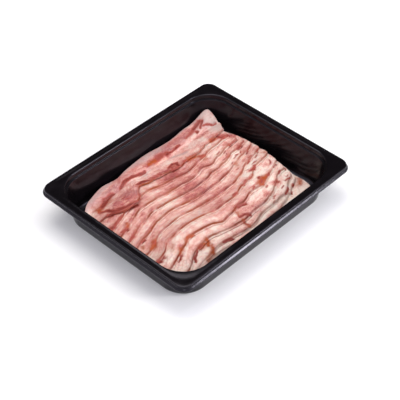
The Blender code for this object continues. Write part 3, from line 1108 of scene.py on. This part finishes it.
    def ends(self, index: int, across: Array) -> tuple[Array, Array]:
        """X of a rasher's two ends.

        Args:
            index: Rasher, counted from the topmost.
            across: Share of the way from the front edge to the back edge.

        Returns:
            X of the left end and of the right end.
        """
        round_off = self.end_round * np.abs(2 * across - 1) ** 3
        left_row = self.cut_line(index, self.left_station) + across * self.slice_width
        right_row = self.cut_line(index, self.right_edge) + across * self.slice_width
        left = round_off + self.wall_margin - self.floor_reach(left_row)
        turn = (index - self.sway_crest) / self.sway_rashers * 2 * math.pi
        drawn = self.upper_draw * hump(index, 1, self.draw_rashers)
        right = self.right_edge + self.right_sway * math.cos(turn) - drawn
        if index == 0:
            return left, right + self.tip_reach * smooth_step(across / self.tip_share)
        return left, np.minimum(right - round_off, self.floor_reach(right_row) - self.wall_margin)

    def reaching(self, x: Array, y: Array) -> Array:
        """How many rashers, counted from the topmost, reach back to a place, as a smooth number.

        Args:
            x: Places along the tray.
            y: Places across the tray.

        Returns:
            The number at each place.
        """
        count = np.full_like(x, float(self.count))
        for index in range(1, self.count - 1):
            near = self.back(index + 1, x)
            count -= np.clip((y - near) / (self.back(index, x) - near), 0.0, 1.0)
        return count

    def underside(self, index: int, x: Array, y: Array) -> Array:
        """Height of a rasher's underside.

        Args:
            index: Rasher, counted from the topmost.
            x: Places along the tray.
            y: Places across the tray.

        Returns:
            The height at each place.
        """
        steps = np.linspace(self.blend_reach, 0.0, self.blend_steps)
        reaching = sum(self.reaching(x, y - step) for step in steps) / len(steps)
        layer = self.thickness + self.clearance
        height = self.tray.gauge + self.clearance + (reaching - index - 1) * layer
        if index > 0:
            return height
        lift = self.back_lift * smooth_step((y - self.lift_from) / self.lift_span)
        tip_x = smooth_step((x - self.tip_from[0]) / self.tip_span[0])
        tip_y = smooth_step((y - self.tip_from[1]) / self.tip_span[1])
        return np.maximum(height, lift + self.tip_lift * tip_x * tip_y)


@dataclass(frozen=True)
class Ticks:
    """Small dark ticks and brown spots, scattered by a seed over the loose right ends of the rows."""

    seed: int = 17
    count: int = 26
    from_x: float = 36.0
    to_x: float = 91.0
    back_y: float = 40.0
    front_y: float = -58.0
    spot_share: float = 0.2
    slant: float = 0.35
    spread: float = 0.7
    lengths: tuple[float, float] = (1.5, 5.0)
    spot_widths: tuple[float, float] = (1.3, 2.2)
    tick_widths: tuple[float, float] = (0.7, 1.1)
    strengths: tuple[float, float] = (0.20, 0.55)

    def strokes(self) -> list[Stroke]:
        """Scatter the ticks.

        Returns:
            The ticks and spots.
        """
        draw = np.random.default_rng(self.seed)
        scattered = []
        for _ in range(self.count):
            x = draw.uniform(self.from_x, self.to_x)
            y = draw.uniform(self.front_y, self.back_y)
            angle = draw.uniform(-self.spread, self.spread) + self.slant
            length = draw.uniform(*self.lengths)
            spot = draw.uniform() < self.spot_share
            tissue = BROWN if spot else DARK
            half_width = draw.uniform(*(self.spot_widths if spot else self.tick_widths))
            strength = draw.uniform(*self.strengths)
            end_x = x + length * math.cos(angle)
            end_y = y + length * math.sin(angle)
            scattered.append(Stroke(tissue, x, y, end_x, end_y, half_width, strength))
        return scattered


@dataclass(frozen=True)
class Relief:
    """Fine shape of the slices: edge waves, ripples, rounded rims and front lips that fall to a thin foot.
    """

    edge_wave: float = 0.00055
    loose_wave: float = 0.0008
    ripple: float = 0.00045
    ripple_floor: float = -0.0003
    rim_top: float = 0.0010
    rim_under: float = 0.0002
    foot: float = 0.0018
    foot_wave: float = 0.0006
    foot_fall: float = 0.00035
    lip_fall: float = 0.00170
    lip_wave: float = 0.25
    lip_reach: float = 0.0026
    hem: float = 0.00034
    hem_reach: float = 0.0020
    crease: float = 0.00060
    fat_swell: float = 0.00032
    fat_level: float = 0.4


@dataclass(frozen=True)
class Marbling:
    """How lean and fat run through a slice, and how dark its cut edges and creases are; several of its
    weights paint highlight, shade and light, as noted at each.
    """

    streak: float = 0.15
    band: float = 0.14
    blot: float = 0.16
    block: float = 0.08
    loose_block: float = 0.20
    drift_mm: float = 5.0
    # Painted highlight: a paler band just in front of the rasher above.
    painted_highlight_band: float = 0.10
    # Painted shade: pinker towards each rasher's own lip.
    lip_shade: float = 0.16
    # Paler thin foot in front of the lip: partly fat, partly painted highlight.
    foot_fat_and_highlight: float = 0.14
    marked_lean: float = 1.15
    dark_gain: float = 1.35
    evening: float = 0.10
    evening_from: int = 4
    # Painted light: lower rashers paler, to make up for the front wall's shade.
    paling_painted_light: float = 0.042
    paling_painted_light_from: int = 3
    # Glassy back edge of the topmost rasher, partly painted shade.
    back_veil_and_shade: float = 0.80
    # Painted shade: the dark front-edge line spread as a halo over the lip's top.
    cut_shade_halo: float = 0.50
    cut_wave: float = 0.75
    cut_least: float = 0.30
    loose_cut: float = 0.20
    lowest_cut: float = 0.45
    # Painted shade where the rasher above lies on this one.
    contact_shade: float = 0.15
    gold_wave: float = 0.45
    # Painted shade in the creases.
    crease: float = 0.26
    loose_crease: float = 0.7
    fibre_crease: float = 0.55


@dataclass(frozen=True)
class Points:
    """Points of a slice seen from above, in metres, and their distances from its edges."""

    x: Array
    y: Array
    from_front: Array
    from_back: Array
    from_ends: Array


@dataclass
class Rasher:
    """One slice of streaky bacon."""

    index: int
    pile: Pile
    finish: bpy.types.Material
    relief: Relief = field(default_factory=Relief)
    marbling: Marbling = field(default_factory=Marbling)
    cells_along: int = 380

    @property
    def name(self) -> str:
        """Name of the slice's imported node."""
        return f"rasher_{self.index + 1:02d}"

    @property
    def cells_across(self) -> int:
        """Rows of faces across the slice; the topmost is in view over its whole width."""
        return 76 if self.index == 0 else 62

    def slab(self) -> bpy.types.Mesh:
        """Unit slab: a grid and its raised copy, closed at the rim."""
        bm = bmesh.new()
        bmesh.ops.create_grid(bm, x_segments=self.cells_along, y_segments=self.cells_across, size=0.5)
        raised = bmesh.ops.extrude_face_region(bm, geom=bm.faces[:])["geom"]
        top = [part for part in raised if isinstance(part, bmesh.types.BMVert)]
        bmesh.ops.translate(bm, verts=top, vec=(0.0, 0.0, 1.0))
        bmesh.ops.recalc_face_normals(bm, faces=bm.faces)
        mesh = bpy.data.meshes.new(self.name + "_bacon")
        bm.to_mesh(mesh)
        bm.free()
        return mesh

    def shares(self, grid: Array) -> tuple[Array, Array]:
        """Shares along and across of the grid's points, closer together near the edges.

        Args:
            grid: Points of the unit slab.

        Returns:
            Share along and share across.
        """
        along = np.interp(grid[:, 0] + 0.5, (0.0, 0.02, 0.98, 1.0), (0.0, 0.006, 0.994, 1.0))
        if self.index == 0:
            stops = ((0.0, 0.08, 0.93, 1.0), (0.0, 0.035, 0.970, 1.0))
        else:
            stops = ((0.0, 0.06, 0.30, 0.76, 0.95, 1.0), (0.0, 0.020, 0.13, 0.54, 0.965, 1.0))
        return along, np.interp(grid[:, 1] + 0.5, *stops)

    def rim_drop(self, inward: Array, reach: float, fall: float) -> Array:
        """How much a rounded rim falls off near the outline.

        Args:
            inward: Distance in from the outline.
            reach: How far in the rim is rounded.
            fall: How far it falls at the outline.

        Returns:
            The fall at each place.
        """
        share = np.clip(inward / reach, 0.0, 1.0)
        return fall * (1.0 - np.sqrt(1.0 - (1.0 - share) ** 2))

    def covered(self, points: Points) -> Array:
        """How far points lie in front of the next rasher up; far where nothing lies over them."""
        if self.index == 0:
            return np.full_like(points.x, 1.0)
        return self.pile.front(self.index - 1, points.x) - points.y

    def foot(self, x: Array) -> Array:
        """Width of the thin edge that shows in front of the slice's rounded lip."""
        share = 0.2 if self.index == 0 else np.clip((11 - self.index) / 3, 0.3, 1.0)
        wave = Grain(5 + self.index).along(x, 0.009, 90.5)
        return share * (self.relief.foot + self.relief.foot_wave * wave)

    def lean(self, points: Points, mm_x: Array) -> Array:
        """Share of lean, before the marks; it also holds painted highlight, painted shade and painted light,
        noted below.

        Args:
            points: Points of the slice.
            mm_x: Places along the tray in millimetres, warped.

        Returns:
            The share at each point.
        """
        looks = self.marbling
        fine = Grain(23 + self.index)
        x, y = points.x, points.y
        drift = looks.drift_mm * fine.along(x, 0.060, 80.5, 3.0)
        run = np.interp(mm_x + drift, *np.array(LOWER_LEAN if self.index else TOP_LEAN).T)
        contrast = 1.0 - looks.evening * max(self.index - looks.evening_from, 0)
        # Painted light: lower rashers, nearer the front wall, are paler to make up for the wall's shade.
        share = 0.5 + contrast * (run - 0.5) - looks.paling_painted_light * max(self.index - looks.paling_painted_light_from, 0)
        share += looks.streak * fine.at(x / 0.020, points.from_front / 0.0021)
        share += looks.band * fine.at(x / 0.024 + 50.0, points.from_front / 0.0065)
        share += looks.blot * fine.at(x / 0.0045 + 13.0, y / 0.0035)
        share += (looks.block + looks.loose_block * looseness(x)) * fine.at(x / 0.0080 + 23.0, y / 0.0050)
        # Painted highlight: a paler band just in front of the rasher above.
        share -= looks.painted_highlight_band * hump(self.covered(points), 0.0012, 0.0016)
        # Painted shade: pinker towards the rasher's own lip.
        lip = points.from_front - self.foot(x)
        # Its thin foot in front of the lip is paler: partly fat, partly painted highlight.
        return share + np.where(lip > 0, looks.lip_shade * hump(lip, 0.0, 0.0034), -looks.foot_fat_and_highlight)

    def mark(self, layers: list[Array], mm_x: Array, mm_y: Array) -> Array:
        """Lay the marks over the meat.

        Args:
            layers: Lean, brown, dark and clear at each point, changed here.
            mm_x: Places along the tray in millimetres, warped.
            mm_y: Places across the tray in millimetres, warped.

        Returns:
            Height of the swellings at each place.
        """
        swell = np.zeros_like(mm_x)
        for stroke in (*MARKS, *(Ticks().strokes() if self.index else ())):
            weight = stroke.weight(mm_x, mm_y)
            if stroke.tissue is SWELL:
                swell += weight * MM
            elif stroke.tissue is FAT:
                layers[0] = layers[0] * (1.0 - weight)
            elif stroke.tissue is LEAN:
                layers[0] = layers[0] + weight * (self.marbling.marked_lean - layers[0])
            else:
                if stroke.tissue is DARK:
                    weight = np.minimum(self.marbling.dark_gain * weight, 1.0)
                channel = stroke.tissue.value
                layers[channel] = layers[channel] + weight * (1.0 - layers[channel])
        return swell

    def back_veil_and_shade(self, mm_x: Array, from_back: Array) -> Array:
        """Strength of the grey, glassy back edge of the topmost slice, darkened partly as painted shade
        where it leans up the wall.
        """
        width = MM * np.interp(mm_x, *np.array(VEIL_WIDTH).T)
        return self.marbling.back_veil_and_shade * (1.0 - smooth_step((from_back - 0.5 * width) / (0.7 * width)))

    def cut_edge_and_shade(self, points: Points) -> tuple[Array, Array]:
        """Dark line of the front edge: partly the cut edge's own darker tissue, partly painted shade of its
        shaded front face.

        Args:
            points: Points of the slice.

        Returns:
            Strength of the unbroken line, and its broken strength with the painted shade where the rasher
            above lies on it.
        """
        looks = self.marbling
        lip = points.from_front - self.foot(points.x)
        # Painted shade: the line spreads as a halo over the lip's top.
        line = np.maximum(hump(lip, 0.0001, 0.0010, 4), looks.cut_shade_halo * hump(lip, 0.0004, 0.0021))
        broken = 1.0 + looks.cut_wave * Grain(23 + self.index).along(points.x, 0.007, 30.5)
        broken = np.clip(broken, looks.cut_least, 1.0) * (1.0 - looks.loose_cut * looseness(points.x))
        broken *= np.clip((12.5 - self.index) / 5, looks.lowest_cut, 1.0)
        # Painted shade along the line where the rasher above lies on this one.
        contact_shade = looks.contact_shade * hump(self.covered(points), 0.0, 0.0010)
        return line, np.clip(np.maximum(line, contact_shade) * broken, 0.0, 1.0)

    def tissue(self, points: Points) -> tuple[Array, Array, Array]:
        """Make-up of the meat at each point, and the relief that it gives.

        Args:
            points: Points of the slice.

        Returns:
            Lean, brown, dark (with painted shade in the creases) and glassy tone at each point, the strength
            and gold of the dark front-edge line (partly painted shade), and the relief.
        """
        warp = Grain(11)
        fine = Grain(23 + self.index)
        x, y = points.x, points.y
        mm_x = x / MM + 1.6 * warp.at(x / 0.009, y / 0.006) + 0.7 * fine.at(x / 0.0035, y / 0.003)
        mm_y = y / MM + warp.at(x / 0.008 + 31.0, y / 0.006) + 0.5 * fine.at(x / 0.003 + 7.0, y / 0.003)
        layers = [self.lean(points, mm_x), np.zeros_like(x), np.zeros_like(x), np.zeros_like(x)]
        swell = self.mark(layers, mm_x, mm_y)
        if self.index == 0:
            # Glassy back edge, darkened partly as painted shade.
            layers[3] = np.maximum(layers[3], self.back_veil_and_shade(mm_x, points.from_back))
        # Dark front-edge line, partly painted shade.
        line, amount = self.cut_edge_and_shade(points)
        gold = np.interp(mm_x, *np.array(CUT_GOLD).T)
        gold = np.clip(gold + self.marbling.gold_wave * fine.along(x, 0.012, 60.5), 0.0, 1.0)
        # Painted shade in the creases, which also sink the relief below.
        layers[2] = np.clip(layers[2] + self.marbling.crease * self.creases(points), 0.0, 1.0)
        layers[0] = np.clip(layers[0], 0.0, 1.0)
        relief = swell - self.relief.crease * layers[2] * (1 - line)
        relief -= self.relief.fat_swell * (layers[0] - self.relief.fat_level)
        tint = np.stack((amount, gold, np.zeros_like(x), np.ones_like(x)), axis=1)
        return np.stack(layers, axis=1), tint, relief

    def creases(self, points: Points) -> Array:
        """Short broken creases, used as painted shade in the colour and as dips in the relief: every way in
        the loose right ends, slanting at the near left corner.

        Args:
            points: Points of the slice.

        Returns:
            Depth share of the creases at each point.
        """
        looks = self.marbling
        grain = Grain(71 + self.index)
        x, y = points.x, points.y
        loose = looseness(x)
        corner = smooth_step((-0.045 - x) / 0.014) * smooth_step((-0.018 - y) / 0.014)
        crumple = valley(grain.at(x / 0.0060, y / 0.0036)) * gate(grain.at(x / 0.005 + 9.0, y / 0.004))
        folds = valley(grain.at((x + 0.8 * y) / 0.013, (y - 0.8 * x) / 0.0042))
        folds = folds * gate(grain.at(x / 0.009 + 5.0, y / 0.009))
        fibres = valley(grain.at(x / 0.016 + 40.0, points.from_front / 0.0042))
        fibres = fibres * gate(grain.at(x / 0.008 + 2.0, y / 0.006)) * (1 - loose) * (1 - corner)
        return looks.loose_crease * loose * crumple + corner * folds + looks.fibre_crease * fibres

    def outline(self, along: Array, across: Array) -> Points:
        """Lay the slice out flat, with its waved front edge.

        Args:
            along: Share of the way from the left end.
            across: Share of the way from the front edge.

        Returns:
            The slice's points.
        """
        left, right = self.pile.ends(self.index, across)
        x = left + (right - left) * along
        grain = Grain(5 + self.index)
        wave = grain.along(x, 0.011, 0.0) + 0.5 * grain.along(x, 0.004, 9.5)
        flutter = smooth_step((x - 0.038) / 0.014) * grain.along(x, 0.0036, 70.5)
        front = self.pile.front(self.index, x)
        front = front + self.relief.edge_wave * wave + self.relief.loose_wave * flutter
        back = self.pile.back(self.index, x)
        y = front + (back - front) * across
        return Points(x, y, y - front, back - y, np.minimum(x - left, right - x))

    def bed(self, x: Array, y: Array) -> Array:
        """Height on which the slice lies, with the ripples that all slices share."""
        common = Grain(3)
        ripple = common.at(x / 0.016, y / 0.011) + 0.4 * common.at(x / 0.006 + 40.0, y / 0.005)
        ripple = np.maximum(self.relief.ripple * ripple, self.relief.ripple_floor)
        return self.pile.underside(self.index, x, y) + ripple

    def falls(self, points: Points) -> tuple[Array, Array]:
        """How far the top face and the underside lie below a flat slice's.

        Args:
            points: Points of the slice.

        Returns:
            Fall of the top face, and of the underside, which rises at its rims.
        """
        shape = self.relief
        foot = self.foot(points.x)
        wave = Grain(5 + self.index).along(points.x, 0.008, 20.5)
        lip_fall = shape.lip_fall * (1.0 + shape.lip_wave * wave)
        edge = self.rim_drop(points.from_front - foot, shape.lip_reach, lip_fall)
        edge = edge + shape.foot_fall * (1.0 - np.clip(points.from_front / foot, 0.0, 1.0))
        sides = np.minimum(points.from_back, points.from_ends)
        rim = np.maximum(self.rim_drop(sides, shape.rim_top, shape.rim_top), edge)
        hem = shape.hem * np.exp(-points.from_front / shape.hem_reach) if self.index else 0.0
        return rim, hem - self.rim_drop(sides, shape.rim_under, shape.rim_under)

    def build(self) -> bpy.types.Object:
        """Shape the slab as this slice and colour its tissue.

        Returns:
            The slice.
        """
        mesh = self.slab()
        grid = np.empty(len(mesh.vertices) * 3)
        mesh.vertices.foreach_get("co", grid)
        grid = grid.reshape(-1, 3)
        points = self.outline(*self.shares(grid))
        tissue, tint, relief = self.tissue(points)
        bed = self.bed(points.x, points.y)
        top_fall, under_fall = self.falls(points)
        z = np.where(grid[:, 2] > 0.5, bed + self.pile.thickness + relief - top_fall, bed - under_fall)
        mesh.vertices.foreach_set("co", np.stack((points.x, points.y, z), axis=1).ravel())
        for name, values in (("tissue", tissue), ("rim", tint)):
            mesh.attributes.new(name, "FLOAT_COLOR", "POINT").data.foreach_set("color", values.ravel())
        self.unwrap(mesh, points)
        mesh.shade_smooth()
        mesh.update()
        return link_piece(mesh, self.finish, self.name)

    def unwrap(self, mesh: bpy.types.Mesh, points: Points) -> None:
        """Give the slice a flat map in metres: along the fibres, and across from the front edge.

        Args:
            mesh: The slice's mesh.
            points: Its points.
        """
        corners = np.empty(len(mesh.loops), dtype=np.int32)
        mesh.loops.foreach_get("vertex_index", corners)
        flat = np.stack((points.x + 0.2, points.from_front + 0.05 * self.index), axis=1)
        mesh.uv_layers.new(name="UVMap").uv.foreach_set("vector", flat[corners].ravel())


# ---- Studio ----


@dataclass(frozen=True)
class SoftBox:
    """One rectangular soft light."""

    name: str
    place: Triple
    size: tuple[float, float]
    power: float
    colour: Colour = (1.0, 1.0, 1.0)

    def build(self) -> None:
        """Hang the light and turn it to the tray."""
        data = bpy.data.lights.new(self.name, "AREA")
        data.shape = "RECTANGLE"
        data.size, data.size_y = self.size
        data.energy = self.power
        data.color = self.colour
        light = bpy.data.objects.new(self.name, data)
        light.location = self.place
        light.rotation_euler = (-Vector(self.place)).to_track_quat("-Z", "Y").to_euler()
        bpy.context.scene.collection.objects.link(light)


@dataclass(frozen=True)
class Glow:
    """A soft lobe of the room's light, brighter or darker than the rest."""

    direction: Triple
    inner: float
    outer: float
    strength: float


@dataclass
class Studio:
    """Pale floor, soft room light, soft boxes and the camera."""

    floor_size: float = 6.0
    floor_colours: tuple[Colour, Colour] = ((0.95, 0.95, 0.96), (0.95, 0.95, 0.95))
    camera_place: Triple = (-0.5946, -0.5735, 0.7746)
    camera_forward: Triple = (0.52878, 0.50670, -0.68092)
    lens: float = 105.7
    room_colour: Colour = (0.940, 0.928, 1.0)
    room_strength: float = 1.10
    glows: tuple[Glow, ...] = (
        Glow((0.53, 0.60, 0.55), 34.0, 62.0, 0.04),
        Glow((0.50, -0.80, 0.22), 18.0, 40.0, 1.8),
        Glow((0.44, -0.20, 0.87), 2.0, 7.0, 14.0),
    )
    boxes: tuple[SoftBox, ...] = (
        SoftBox("key", (0.10, 0.30, 1.30), (0.9, 0.9), 9.6, (1.0, 0.975, 0.935)),
        SoftBox("side", (0.50, -0.76, 0.48), (0.22, 0.14), 3.2),
        SoftBox("front", (-0.85, -0.95, 1.15), (0.25, 0.25), 2.0),
    )

    def floor(self) -> None:
        """Lay the floor."""
        bm = bmesh.new()
        bmesh.ops.create_grid(bm, x_segments=8, y_segments=8, size=self.floor_size / 2)
        mesh = bpy.data.meshes.new("floor")
        bm.to_mesh(mesh)
        bm.free()
        shader = Shader("plain_floor")
        place = shader.add("TexCoord", {}).outputs["Object"]
        tone = shader.mix(shader.noise(place, 2.0), *self.floor_colours)
        shader.feed(shader.inputs["Base Color"], tone)
        shader.inputs["Roughness"].default_value = 0.9
        mesh.materials.append(shader.material)
        piece = bpy.data.objects.new("floor", mesh)
        bpy.context.scene.collection.objects.link(piece)

    def camera(self) -> None:
        """Place the camera."""
        data = bpy.data.cameras.new("camera")
        data.lens = self.lens
        data.sensor_width = 36.0
        data.clip_start = 0.01
        camera = bpy.data.objects.new("camera", data)
        camera.location = self.camera_place
        camera.rotation_euler = Vector(self.camera_forward).to_track_quat("-Z", "Y").to_euler()
        bpy.context.scene.collection.objects.link(camera)
        bpy.context.scene.camera = camera

    def world(self) -> None:
        """Set the room's light: even, but dark behind the tray and bright beside and above it."""
        world = bpy.data.worlds.new("studio")
        nodes = Nodes(world)
        backdrop = nodes.tree.nodes["Background"].inputs
        direction = nodes.add("TexCoord", {}).outputs["Generated"]
        strength = self.room_strength
        for glow in self.glows:
            centre = Vector(glow.direction).normalized()
            near = nodes.add("VectorMath", {0: direction, 1: centre}, operation="DOT_PRODUCT")
            outer, inner = (math.cos(math.radians(angle)) for angle in (glow.outer, glow.inner))
            edges = {0: near.outputs["Value"], 1: outer, 2: inner, 3: 1.0, 4: glow.strength}
            lobe = nodes.add("MapRange", edges, interpolation_type="SMOOTHSTEP")
            strength = nodes.maths("MULTIPLY", strength, lobe.outputs[0])
        nodes.feed(backdrop["Color"], self.room_colour)
        nodes.feed(backdrop["Strength"], strength)
        bpy.context.scene.world = world

    def build(self) -> None:
        """Set up the whole studio."""
        self.floor()
        self.world()
        self.camera()
        for box in self.boxes:
            box.build()
        bpy.context.scene.view_settings.view_transform = "Standard"
        bpy.context.scene.view_settings.look = "None"


def main() -> None:
    """Build the tray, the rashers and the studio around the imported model."""
    logging.basicConfig(level=logging.INFO, format="%(name)s %(message)s")
    for item in list(bpy.data.objects):
        bpy.data.objects.remove(item, do_unlink=True)
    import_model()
    tray = Tray()
    tray.build()
    pile = Pile(tray=tray)
    meat = StreakyMeat().material()
    for index in range(pile.count):
        Rasher(index, pile, meat).build()
    Studio().build()


if __name__ == "__main__":
    main()
